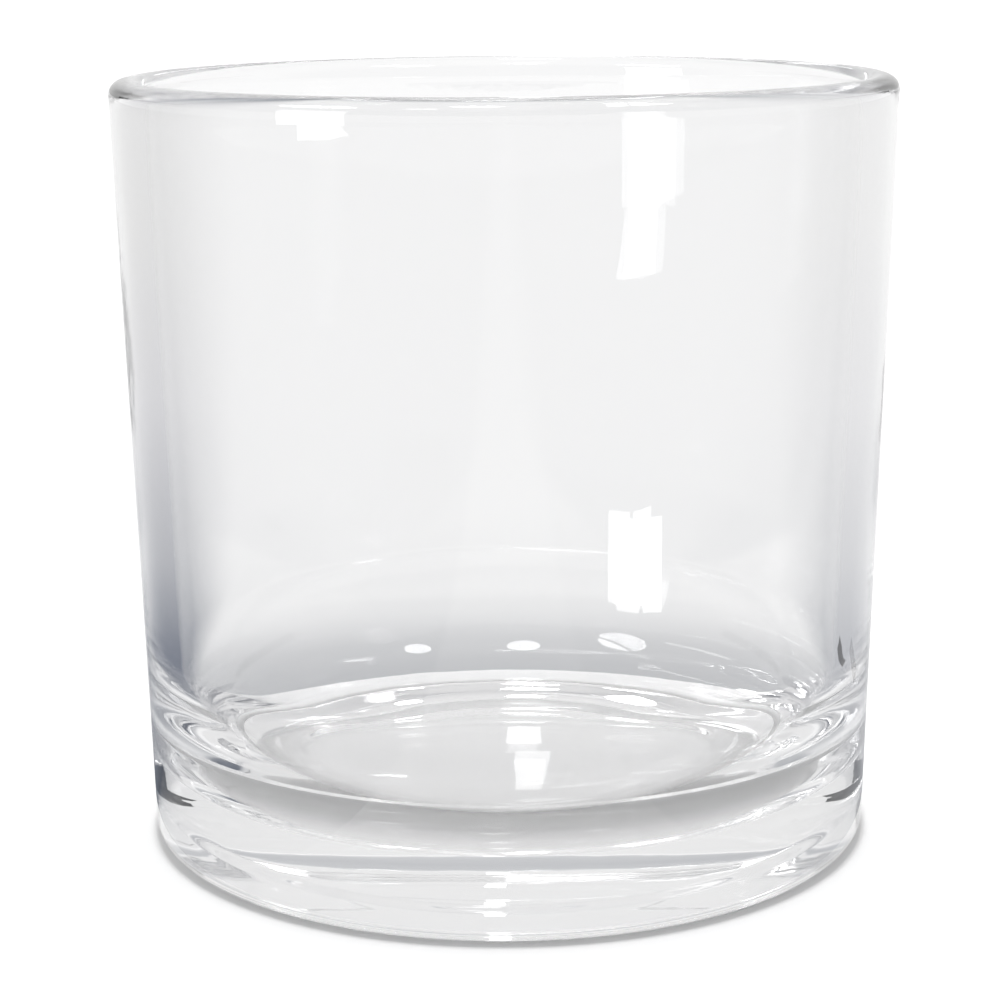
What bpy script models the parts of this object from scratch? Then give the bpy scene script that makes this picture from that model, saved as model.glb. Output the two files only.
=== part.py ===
"""A heavy-based, slightly tapered cylindrical glass vessel, in one piece of clear glass.

Frame: metres, +Z up. The origin is the centre of the foot, on the surface that the vessel
stands on, and the mouth opens towards +Z. The whole shape is one turned profile.
"""

import math

import bmesh
import bpy

NODE = "glass_vessel"

# Outside
RIM_DIAMETER = 0.1000
FOOT_DIAMETER = 0.0947
HEIGHT = 0.0990
HEEL_RADIUS = 0.0020

# Wall, rounded rim, inner corner and floor
WALL = 0.0044
LIP_HEIGHT = 0.0018
FLOOR = 0.0072
CORNER_WIDTH = 0.0150
CORNER_HEIGHT = 0.0200

# Shallow recess under the base, which leaves a flat ring to stand on
RECESS_RADIUS = 0.0313
RECESS_DEPTH = 0.0004
RECESS_SHOULDER = 0.0040

# Facets
SIDES = 72
LIP_STEPS = 8
HEEL_STEPS = 4
CORNER_STEPS = 10
SHOULDER_STEPS = 4
MERGE_DISTANCE = 0.00001

# Glass
COLOUR = (0.93, 0.95, 0.95, 1.0)
ROUGHNESS = 0.02
IOR = 1.5


def clear_scene():
    for item in list(bpy.data.objects):
        bpy.data.objects.remove(item, do_unlink=True)


def arc(centre, width, height, start, end, steps):
    """Points on an elliptical arc in the XZ plane, from start to end degrees, ends included."""
    points = []
    for step in range(steps + 1):
        angle = math.radians(start + (end - start) * step / steps)
        x = centre[0] + width * math.cos(angle)
        z = centre[1] + height * math.sin(angle)
        points.append((x, z))
    return points


def outer_radius(z):
    """Radius of the outer wall at height z: a straight taper from the rim to the foot."""
    foot = FOOT_DIAMETER / 2
    return foot + (RIM_DIAMETER / 2 - foot) * z / HEIGHT


def inner_corner():
    """The sweep that joins the flat floor to the inner wall, a quarter ellipse, floor end first."""
    wall_end = FLOOR + CORNER_HEIGHT
    floor_end = outer_radius(wall_end) - WALL - CORNER_WIDTH
    return arc((floor_end, wall_end), CORNER_WIDTH, CORNER_HEIGHT, -90, 0, CORNER_STEPS)


def lip():
    """The rounded rim, half an ellipse as wide as the wall, from the inside to the outside."""
    half_wall = WALL / 2
    centre = (RIM_DIAMETER / 2 - half_wall, HEIGHT - LIP_HEIGHT)
    return arc(centre, half_wall, LIP_HEIGHT, 180, 0, LIP_STEPS)


def heel():
    """The rounded outer corner of the foot, from the wall down to the standing ring."""
    centre = (outer_radius(HEEL_RADIUS) - HEEL_RADIUS, HEEL_RADIUS)
    return arc(centre, HEEL_RADIUS, HEEL_RADIUS, 0, -90, HEEL_STEPS)


def recess():
    """The gentle step from the standing ring up to the recessed centre, ending on the axis."""
    points = []
    for step in range(SHOULDER_STEPS + 1):
        part = step / SHOULDER_STEPS
        x = RECESS_RADIUS - RECESS_SHOULDER * part
        z = RECESS_DEPTH * (1 - math.cos(math.pi * part)) / 2
        points.append((x, z))
    points.append((0.0, RECESS_DEPTH))
    return points


def profile():
    """The whole outline, from the middle of the floor, over the rim, to under the base."""
    return [(0.0, FLOOR)] + inner_corner() + lip() + heel() + recess()


def glass():
    material = bpy.data.materials.new(NODE)
    material.use_nodes = True
    shader = material.node_tree.nodes["Principled BSDF"]
    shader.inputs["Base Color"].default_value = COLOUR
    shader.inputs["Roughness"].default_value = ROUGHNESS
    shader.inputs["Metallic"].default_value = 0.0
    shader.inputs["IOR"].default_value = IOR
    shader.inputs["Transmission Weight"].default_value = 1.0
    return material


def turned(name, points):
    """An object whose outline is turned round the Z axis by a Screw modifier."""
    mesh = bpy.data.meshes.new(name)
    build = bmesh.new()
    vertices = [build.verts.new((x, 0.0, z)) for x, z in points]
    for first, second in zip(vertices, vertices[1:]):
        build.edges.new((first, second))
    build.to_mesh(mesh)
    build.free()

    item = bpy.data.objects.new(name, mesh)
    bpy.context.scene.collection.objects.link(item)
    screw = item.modifiers.new("Turn", "SCREW")
    screw.axis = "Z"
    screw.angle = 2 * math.pi
    screw.steps = SIDES
    screw.render_steps = SIDES
    screw.use_merge_vertices = True
    screw.merge_threshold = MERGE_DISTANCE
    screw.use_smooth_shade = True
    return item


def main():
    clear_scene()
    vessel = turned(NODE, profile())
    vessel.data.materials.append(glass())


main()
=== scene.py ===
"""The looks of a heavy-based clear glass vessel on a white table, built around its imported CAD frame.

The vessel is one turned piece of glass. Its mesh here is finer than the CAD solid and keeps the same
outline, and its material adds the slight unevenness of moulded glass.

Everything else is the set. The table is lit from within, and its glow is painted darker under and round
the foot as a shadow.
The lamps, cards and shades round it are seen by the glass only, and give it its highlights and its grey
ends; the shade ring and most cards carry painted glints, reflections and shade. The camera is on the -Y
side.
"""

import math

import bmesh
import bpy
from mathutils import Matrix, Vector

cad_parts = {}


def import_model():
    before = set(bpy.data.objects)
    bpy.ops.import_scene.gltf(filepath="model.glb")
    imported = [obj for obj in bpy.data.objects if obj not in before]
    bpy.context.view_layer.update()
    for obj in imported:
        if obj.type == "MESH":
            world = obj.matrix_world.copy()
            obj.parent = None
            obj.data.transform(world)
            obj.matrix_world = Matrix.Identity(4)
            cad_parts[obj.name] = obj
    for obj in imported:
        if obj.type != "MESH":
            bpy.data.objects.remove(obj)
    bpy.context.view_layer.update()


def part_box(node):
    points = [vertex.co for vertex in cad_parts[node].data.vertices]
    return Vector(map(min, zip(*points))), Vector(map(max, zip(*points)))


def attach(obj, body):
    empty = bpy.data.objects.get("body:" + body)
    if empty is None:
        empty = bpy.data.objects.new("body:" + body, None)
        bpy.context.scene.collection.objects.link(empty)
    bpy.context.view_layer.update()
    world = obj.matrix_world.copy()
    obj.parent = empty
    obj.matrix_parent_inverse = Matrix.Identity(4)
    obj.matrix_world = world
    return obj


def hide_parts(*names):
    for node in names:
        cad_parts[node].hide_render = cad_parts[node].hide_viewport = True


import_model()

NODE = "glass_vessel"

# ---------------------------------------------------------------- outline, metres
LOW, HIGH = (Vector(corner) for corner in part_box(NODE))
RIM_RADIUS = (HIGH.x - LOW.x) / 2
HEIGHT = HIGH.z - LOW.z
FOOT_RADIUS = 0.04735
HEEL_RADIUS = 0.0020
WALL = 0.0044
LIP_HEIGHT = 0.0018
FLOOR = 0.0072
CORNER_WIDTH = 0.0150
CORNER_HEIGHT = 0.0200
RECESS_RADIUS = 0.0313
RECESS_DEPTH = 0.0004
RECESS_SHOULDER = 0.0040

# ---------------------------------------------------------------- mesh steps
SIDES = 384
FLOOR_STEPS = 16
CORNER_STEPS = 28
WALL_STEPS = 40
LIP_STEPS = 20
HEEL_STEPS = 14
RING_STEPS = 8
SHOULDER_STEPS = 12
RECESS_STEPS = 10

# ---------------------------------------------------------------- glass
GLASS_TINT = (0.928, 0.928, 0.930)
GLASS_IOR = 1.5
FILM_SCALE = 35.0
FILM_ROUGHNESS = 0.03
SWELL_SCALE = 20.0
GRAIN_SCALE = 160.0
GRAIN_SHARE = 0.03
BUMP_STRENGTH = 0.5
BUMP_DEPTH = 0.0004

# ---------------------------------------------------------------- table
TABLE_HALF = 12.0
TABLE_GAP = 0.0001
TABLE_WHITE = (0.7, 0.7, 0.7)
TABLE_GLOW = 0.62
# Share of the glow by distance from the axis, in tenths of a metre: least under and just round the foot, a
# painted contact shadow.
TABLE_GLOW_AND_PAINTED_SHADOW = [
    (0.26, 0.88), (0.33, 0.70), (0.40, 0.30), (0.473, 0.15), (0.482, 0.88), (0.50, 0.96), (0.55, 1.00),
]

# ---------------------------------------------------------------- painted shade on the table, seen by the glass only
SHADE_INNER = 0.050
SHADE_OUTER = 2.0
SHADE_SIDES = 96
SHADE_LIFT = 0.0003
SHADE_FLANK = 0.045
SHADE_RIGHT_CUT = 0.38
SHADE_WHITE = (1.05, 1.05, 1.05)
# Bearing from the vessel's flank: 0.5 straight behind it, 0.75 to its side and 1 in front of it.
SHADE_BY_BEARING = [(0.00, 0.0), (0.53, 0.0), (0.57, 0.9), (0.66, 1.0), (0.78, 0.5), (1.00, 0.5)]
# Reach is the logarithm of the distance from the axis: 0 at the inner edge, 1 at the outer one.
SHADE_BY_REACH = [(0.00, 0.50), (0.06, 0.35), (0.12, 0.10), (0.17, 0.0)]
SHADE_TONES = [
    (0.04, (0.08, 0.10, 0.14)), (0.22, (0.18, 0.20, 0.25)), (0.33, (0.47, 0.48, 0.51)),
    (0.50, (0.70, 0.70, 0.72)), (0.70, (0.79, 0.79, 0.79)), (1.00, (0.84, 0.84, 0.84)),
]

# ---------------------------------------------------------------- surround
WORLD_WHITE = (0.9, 0.9, 0.9)
WORLD_DARK = (0.12, 0.13, 0.16)
WORLD_LIFT = 1.2
WORLD_DARK_AT = 0.30
WORLD_WHITE_AT = 0.50

# ---------------------------------------------------------------- lamps
# name, start point, bearing and elevation in degrees, distance, width, height, brightness
PANELS = [
    ("lamp_right", (-0.010, 0.037, 0.013), 129.0, 55.0, 0.60, 0.080, 0.100, 9.0),
    ("lamp_middle", (0.002, 0.038, 0.013), -170.0, 62.0, 0.60, 0.100, 0.110, 9.0),
    ("lamp_left", (0.017, 0.036, 0.014), -121.0, 46.0, 0.60, 0.190, 0.140, 9.0),
    ("lamp_behind", (0.002, 0.034, 0.009), -7.0, 73.0, 0.60, 0.050, 0.060, 7.0),
    ("strip_low", (0.002, 0.000, 0.007), 0.7, 9.5, 1.00, 0.032, 0.240, 1.7),
    ("strip_high", (0.002, 0.000, 0.007), 1.1, 28.0, 1.00, 0.030, 0.210, 2.0),
]

# ---------------------------------------------------------------- cards
CARD_LIFT = 0.001
# How brightly the cards glow: the window and its painted reflection, the painted glints, the grey screen,
# and the black flags and dark spot of painted shade.
WINDOW = 4.0
GLINT = 6.0
SCREEN = 0.8
BLACK = 0.03
SPOT = 0.05

# ---------------------------------------------------------------- camera
CAMERA_BACK = 6.4731 * RIM_RADIUS
CAMERA_UP = 2.3246 * RIM_RADIUS
CAMERA_PITCH = math.radians(12.71)
CAMERA_ROLL = math.radians(-0.466)
CAMERA_YAW = math.radians(-0.16)
CAMERA_LENS = 90.2
CAMERA_SENSOR = 36.0
GLASS_BOUNCES = 96
DIFFUSE_BOUNCES = 3
TRANSPARENT_BOUNCES = 16


# ---------------------------------------------------------------- the vessel's shape
def arc(centre, width, height, start, end, steps):
    """Points on an elliptical arc in the XZ plane, from start to end degrees, ends included."""
    points = []
    for step in range(steps + 1):
        angle = math.radians(start + (end - start) * step / steps)
        points.append((centre[0] + width * math.cos(angle), centre[1] + height * math.sin(angle)))
    return points


def line(start, end, steps):
    """Points between start and end, both left out."""
    points = []
    for step in range(1, steps):
        part = step / steps
        points.append((start[0] + (end[0] - start[0]) * part, start[1] + (end[1] - start[1]) * part))
    return points


def outer_radius(z):
    """Radius of the outer wall at height z: a straight taper from the rim to the foot."""
    return FOOT_RADIUS + (RIM_RADIUS - FOOT_RADIUS) * z / HEIGHT


def inner_corner():
    """The sweep that joins the flat floor to the inner wall, a quarter ellipse, floor end first."""
    wall_end = FLOOR + CORNER_HEIGHT
    floor_end = outer_radius(wall_end) - WALL - CORNER_WIDTH
    return arc((floor_end, wall_end), CORNER_WIDTH, CORNER_HEIGHT, -90, 0, CORNER_STEPS)


def lip():
    """The rounded rim, half an ellipse as wide as the wall, from the inside to the outside."""
    half_wall = WALL / 2
    centre = (RIM_RADIUS - half_wall, HEIGHT - LIP_HEIGHT)
    return arc(centre, half_wall, LIP_HEIGHT, 180, 0, LIP_STEPS)


def heel():
    """The rounded outer corner of the foot, from the wall down to the standing ring."""
    centre = (outer_radius(HEEL_RADIUS) - HEEL_RADIUS, HEEL_RADIUS)
    return arc(centre, HEEL_RADIUS, HEEL_RADIUS, 0, -90, HEEL_STEPS)


def shoulder():
    """The gentle step from the standing ring up to the recessed middle of the underside."""
    points = []
    for step in range(SHOULDER_STEPS + 1):
        part = step / SHOULDER_STEPS
        x = RECESS_RADIUS - RECESS_SHOULDER * part
        z = RECESS_DEPTH * (1 - math.cos(math.pi * part)) / 2
        points.append((x, z))
    return points


def outline():
    """The turned outline, from the middle of the floor, over the rim, to under the base."""
    stretches = [inner_corner(), lip(), heel(), shoulder(), [(0.0, RECESS_DEPTH)]]
    steps = [FLOOR_STEPS, WALL_STEPS, WALL_STEPS, RING_STEPS, RECESS_STEPS]
    points = [(0.0, FLOOR)]
    for stretch, count in zip(stretches, steps):
        points += line(points[-1], stretch[0], count) + stretch
    return points


def turn(name, points, sides):
    """A closed mesh of the outline turned round the Z axis, smooth all over."""
    build = bmesh.new()
    rings = []
    for x, z in points:
        if x == 0.0:
            rings.append([build.verts.new((0.0, 0.0, z))])
            continue
        ring = []
        for side in range(sides):
            angle = 2 * math.pi * side / sides
            ring.append(build.verts.new((x * math.cos(angle), x * math.sin(angle), z)))
        rings.append(ring)
    for first, second in zip(rings, rings[1:]):
        for side in range(sides):
            after = (side + 1) % sides
            if len(first) == 1:
                build.faces.new((first[0], second[side], second[after]))
            elif len(second) == 1:
                build.faces.new((first[after], first[side], second[0]))
            else:
                build.faces.new((first[after], first[side], second[side], second[after]))
    build.normal_update()
    for face in build.faces:
        face.smooth = True
    mesh = bpy.data.meshes.new(name)
    build.to_mesh(mesh)
    build.free()
    return place(name, mesh)


def place(name, data):
    """A new object in the scene that holds the given mesh, lamp or camera data."""
    item = bpy.data.objects.new(name, data)
    bpy.context.scene.collection.objects.link(item)
    return item


# ---------------------------------------------------------------- materials
class Nodes:
    """Adds linked maths nodes to a node tree."""

    def __init__(self, tree):
        self.tree = tree

    def add(self, kind, **settings):
        node = self.tree.nodes.new(kind)
        for name, value in settings.items():
            setattr(node, name, value)
        return node

    def feed(self, socket, value):
        if isinstance(value, bpy.types.NodeSocket):
            self.tree.links.new(value, socket)
        else:
            socket.default_value = value

    def maths(self, operation, *values):
        node = self.add("ShaderNodeMath", operation=operation)
        for socket, value in zip(node.inputs, values):
            self.feed(socket, value)
        return node.outputs[0]

    def position(self):
        """The world X and Y of the point being shaded."""
        split = self.add("ShaderNodeSeparateXYZ")
        self.feed(split.inputs[0], self.add("ShaderNodeNewGeometry").outputs["Position"])
        return split.outputs["X"], split.outputs["Y"]

    def distance_from_axis(self):
        x, y = self.position()
        square = self.maths("ADD", self.maths("MULTIPLY", x, x), self.maths("MULTIPLY", y, y))
        return self.maths("SQRT", square)

    def noise(self, where, scale, detail):
        node = self.add("ShaderNodeTexNoise")
        node.inputs["Scale"].default_value = scale
        node.inputs["Detail"].default_value = detail
        self.feed(node.inputs["Vector"], where)
        return node.outputs[0]

    def ramp(self, value, stops):
        """A linear ramp over stops of (position, grey) or (position, colour)."""
        node = self.add("ShaderNodeValToRGB")
        ramp = node.color_ramp
        while len(ramp.elements) < len(stops):
            ramp.elements.new(0.5)
        for element, (position, tone) in zip(ramp.elements, stops):
            colour = tone if isinstance(tone, tuple) else (tone, tone, tone)
            element.position = position
            element.color = (*colour, 1.0)
        self.feed(node.inputs["Fac"], value)
        return node.outputs["Color"]

    def mix(self, share, first, second):
        """The first colour, mixed by the given share into the second."""
        node = self.add("ShaderNodeMix", data_type="RGBA")
        colours = [socket for socket in node.inputs if socket.type == "RGBA"]
        self.feed(node.inputs["Factor"], share)
        self.feed(colours[0], (*first, 1.0))
        self.feed(colours[1], second)
        return [socket for socket in node.outputs if socket.type == "RGBA"][0]


def clear_glass():
    """Clear glass with a faint grey tint, slightly uneven in roughness and in surface."""
    material = bpy.data.materials.new("clear_glass")
    material.use_nodes = True
    nodes = Nodes(material.node_tree)
    shader = material.node_tree.nodes["Principled BSDF"]
    shader.inputs["Base Color"].default_value = (*GLASS_TINT, 1.0)
    shader.inputs["IOR"].default_value = GLASS_IOR
    shader.inputs["Transmission Weight"].default_value = 1.0
    where = nodes.add("ShaderNodeTexCoord").outputs["Object"]
    film = nodes.noise(where, FILM_SCALE, 3.0)
    nodes.feed(shader.inputs["Roughness"], nodes.ramp(film, [(0.45, 0.0), (0.75, FILM_ROUGHNESS)]))
    swell = nodes.noise(where, SWELL_SCALE, 1.0)
    grain = nodes.noise(where, GRAIN_SCALE, 2.0)
    bump = nodes.add("ShaderNodeBump")
    bump.inputs["Strength"].default_value = BUMP_STRENGTH
    bump.inputs["Distance"].default_value = BUMP_DEPTH
    nodes.feed(bump.inputs["Height"], nodes.maths("MULTIPLY_ADD", grain, GRAIN_SHARE, swell))
    nodes.feed(shader.inputs["Normal"], bump.outputs["Normal"])
    return material


def matt(name, colour):
    """A matt material in one colour, and its shader."""
    material = bpy.data.materials.new(name)
    material.use_nodes = True
    shader = material.node_tree.nodes["Principled BSDF"]
    shader.inputs["Base Color"].default_value = (*colour, 1.0)
    shader.inputs["Roughness"].default_value = 1.0
    shader.inputs["Specular IOR Level"].default_value = 0.0
    return material, shader


def glow(name, brightness):
    """A material that gives off an even white light and reflects none."""
    material, shader = matt(name, (0.0, 0.0, 0.0))
    shader.inputs["Emission Color"].default_value = (1.0, 1.0, 1.0, 1.0)
    shader.inputs["Emission Strength"].default_value = brightness
    return material


def table_white_painted_shadow():
    """White with an even glow that fades under and just round the vessel's foot: a painted contact shadow.
    """
    material, shader = matt("table_white_painted_shadow", TABLE_WHITE)
    nodes = Nodes(material.node_tree)
    away = nodes.maths("MULTIPLY", nodes.distance_from_axis(), 10.0)
    nodes.feed(shader.inputs["Emission Color"], nodes.ramp(away, TABLE_GLOW_AND_PAINTED_SHADOW))
    shader.inputs["Emission Strength"].default_value = TABLE_GLOW
    return material


def table_shade():
    """Painted shade that glows: white, but grey-blue near the vessel's flanks and foot, with less of it on
    the right.
    """
    material, shader = matt("table_shade", (0.0, 0.0, 0.0))
    nodes = Nodes(material.node_tree)
    x, y = nodes.position()
    beyond = nodes.maths("SUBTRACT", nodes.maths("ABSOLUTE", x), SHADE_FLANK)
    turn_share = nodes.maths("DIVIDE", nodes.maths("ARCTAN2", beyond, y), math.pi)
    bearing = nodes.maths("ADD", nodes.maths("MULTIPLY", turn_share, 0.5), 0.5)
    steps_out = nodes.maths("MULTIPLY", nodes.distance_from_axis(), 1 / SHADE_INNER)
    reach = nodes.maths("LOGARITHM", steps_out, SHADE_OUTER / SHADE_INNER)
    right = nodes.maths("GREATER_THAN", x, 0.0)
    strength = nodes.maths("SUBTRACT", 1.0, nodes.maths("MULTIPLY", right, SHADE_RIGHT_CUT))
    flank = nodes.maths("MULTIPLY", nodes.ramp(bearing, SHADE_BY_BEARING), strength)
    share = nodes.maths("MAXIMUM", flank, nodes.ramp(reach, SHADE_BY_REACH))
    colour = nodes.mix(share, SHADE_WHITE, nodes.ramp(reach, SHADE_TONES))
    nodes.feed(shader.inputs["Emission Color"], colour)
    shader.inputs["Emission Strength"].default_value = 1.0
    return material


# ---------------------------------------------------------------- the set
def stand(name, points, faces, material):
    """A piece of the set in one material."""
    mesh = bpy.data.meshes.new(name)
    mesh.from_pydata(points, [], faces)
    mesh.materials.append(material)
    item = place(name, mesh)
    return item


def seen_by_glass_only(item):
    """Leaves the item to mirrored and refracted rays."""
    item.visible_camera = False
    item.visible_diffuse = False
    item.visible_shadow = False


def table():
    z = LOW.z - TABLE_GAP
    half = TABLE_HALF
    corners = [(-half, -half, z), (half, -half, z), (half, half, z), (-half, half, z)]
    stand("table_top", corners, [(0, 1, 2, 3)], table_white_painted_shadow())


def shade():
    """A glowing flat ring just over the table, round the vessel, with painted shade in the tones that the
    glass sees there.
    """
    points = []
    for radius in (SHADE_INNER, SHADE_OUTER):
        for step in range(SHADE_SIDES):
            angle = 2 * math.pi * step / SHADE_SIDES
            points.append((radius * math.cos(angle), radius * math.sin(angle), LOW.z + SHADE_LIFT))
    faces = []
    for step in range(SHADE_SIDES):
        after = (step + 1) % SHADE_SIDES
        faces.append((step, SHADE_SIDES + step, SHADE_SIDES + after, after))
    seen_by_glass_only(stand("shade", points, faces, table_shade()))


def world():
    """White behind and above, grey-blue in front and low at the sides, as in a small light tent."""
    data = bpy.data.worlds.new("studio")
    bpy.context.scene.world = data
    data.use_nodes = True
    data.node_tree.nodes.clear()
    nodes = Nodes(data.node_tree)
    split = nodes.add("ShaderNodeSeparateXYZ")
    nodes.feed(split.inputs[0], nodes.add("ShaderNodeTexCoord").outputs["Generated"])
    low = nodes.maths("SUBTRACT", 1.0, nodes.maths("MULTIPLY", split.outputs["Z"], WORLD_LIFT))
    front = nodes.maths("MULTIPLY", split.outputs["Y"], nodes.maths("MAXIMUM", low, 0.0))
    spread = nodes.maths("MULTIPLY_ADD", front, 0.5, 0.5)
    background = nodes.add("ShaderNodeBackground")
    stops = [(WORLD_DARK_AT, WORLD_DARK), (WORLD_WHITE_AT, WORLD_WHITE)]
    nodes.feed(background.inputs["Color"], nodes.ramp(spread, stops))
    nodes.feed(nodes.add("ShaderNodeOutputWorld").inputs[0], background.outputs[0])


def panel(name, start, bearing, elevation, distance, width, height, brightness):
    """A bright panel that faces its start point. The lamps are round, and the strips have corners."""
    bearing, elevation = math.radians(bearing), math.radians(elevation)
    level = math.cos(elevation)
    way = Vector((math.sin(bearing) * level, math.cos(bearing) * level, math.sin(elevation)))
    data = bpy.data.lights.new(name, "AREA")
    data.shape = "ELLIPSE" if name.startswith("lamp") else "RECTANGLE"
    data.size = width
    data.size_y = height
    data.energy = brightness * math.pi * width * height
    item = place(name, data)
    item.location = Vector(start) + way * distance
    item.rotation_euler = (-way).to_track_quat("-Z", "Y").to_euler()
    item.visible_camera = False
    item.visible_diffuse = False


def card(name, corners, brightness):
    """A glowing four-cornered card."""
    seen_by_glass_only(stand(name, corners, [(0, 1, 2, 3)], glow(name, brightness)))


def card_upright(name, first, second, bottom, top, brightness):
    """A card that stands over the line from first to second."""
    bottom, top = LOW.z + bottom, LOW.z + top
    corners = [(*first, bottom), (*second, bottom), (*second, top), (*first, top)]
    card(name, corners, brightness)


def card_flat(name, corners, brightness):
    """A card that lies on the table."""
    card(name, [(x, y, LOW.z + CARD_LIFT) for x, y in corners], brightness)


def window():
    """A glowing window card at the front left, with its shine, a painted reflection of it, on the table in
    front of it.
    """
    card_upright("window_left", (-0.94, -0.99), (-1.26, -0.59), CARD_LIFT, 0.55, WINDOW)
    card_flat("painted_window_reflection", [(-0.52, -0.58), (-0.94, -0.95), (-1.16, -0.72), (-0.66, -0.42)], WINDOW)


def glints():
    """Two glowing patches on the table at the front right, painted glints for the glass to mirror, and a
    faintly glowing grey screen that keeps them off the far wall.
    """
    card_flat("glint_far", [(0.078, -0.149), (0.092, -0.138), (0.127, -0.182), (0.108, -0.197)], GLINT)
    card_flat("glint_near", [(0.094, -0.136), (0.106, -0.127), (0.147, -0.168), (0.130, -0.180)], GLINT)
    card_upright("screen_front", (0.034, -0.0713), (0.070, -0.0488), 0.008, 0.027, SCREEN)


def flags():
    """Black flags at both sides, which slope down towards the back, and a dark spot on the table at the
    right: dark sheets that only the glass sees, painted shade in it.
    """
    for name, side in (("flag_left", -1), ("flag_right", 1)):
        back, front = (side * 0.386, 0.460), (side * 0.594, 0.084)
        card(name, [(*back, 0.104), (*front, 0.190), (*front, 0.236), (*back, 0.140)], BLACK)
    card_flat("painted_shade_spot", [(0.088, 0.034), (0.108, 0.040), (0.112, 0.047), (0.092, 0.043)], SPOT)


def camera():
    """Just above the rim, looking down a little, with a slight roll."""
    data = bpy.data.cameras.new("camera")
    data.sensor_width = CAMERA_SENSOR
    data.lens = CAMERA_LENS
    data.clip_start = 0.01
    data.clip_end = 60.0
    item = place("camera", data)
    level = math.cos(CAMERA_PITCH)
    forward = Vector((math.sin(CAMERA_YAW) * level, math.cos(CAMERA_YAW) * level, -math.sin(CAMERA_PITCH)))
    across = Vector((math.cos(CAMERA_YAW), -math.sin(CAMERA_YAW), 0.0))
    above = across.cross(forward)
    right = across * math.cos(CAMERA_ROLL) + above * math.sin(CAMERA_ROLL)
    over = above * math.cos(CAMERA_ROLL) - across * math.sin(CAMERA_ROLL)
    turned = Matrix((right, over, -forward)).transposed()
    item.matrix_world = Matrix.Translation((0.0, -CAMERA_BACK, LOW.z + CAMERA_UP)) @ turned.to_4x4()
    bpy.context.scene.camera = item


def view_settings():
    """Plain tones, and enough bounces for light that is caught inside the glass."""
    scene = bpy.context.scene
    scene.view_settings.view_transform = "Standard"
    scene.cycles.max_bounces = GLASS_BOUNCES
    scene.cycles.transmission_bounces = GLASS_BOUNCES
    scene.cycles.glossy_bounces = GLASS_BOUNCES
    scene.cycles.diffuse_bounces = DIFFUSE_BOUNCES
    scene.cycles.transparent_max_bounces = TRANSPARENT_BOUNCES


camera()
view_settings()
world()
table()
shade()
for settings in PANELS:
    panel(*settings)
window()
glints()
flags()

vessel = turn("vessel", outline(), SIDES)
vessel.data.materials.append(clear_glass())
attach(vessel, "root")
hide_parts(NODE)
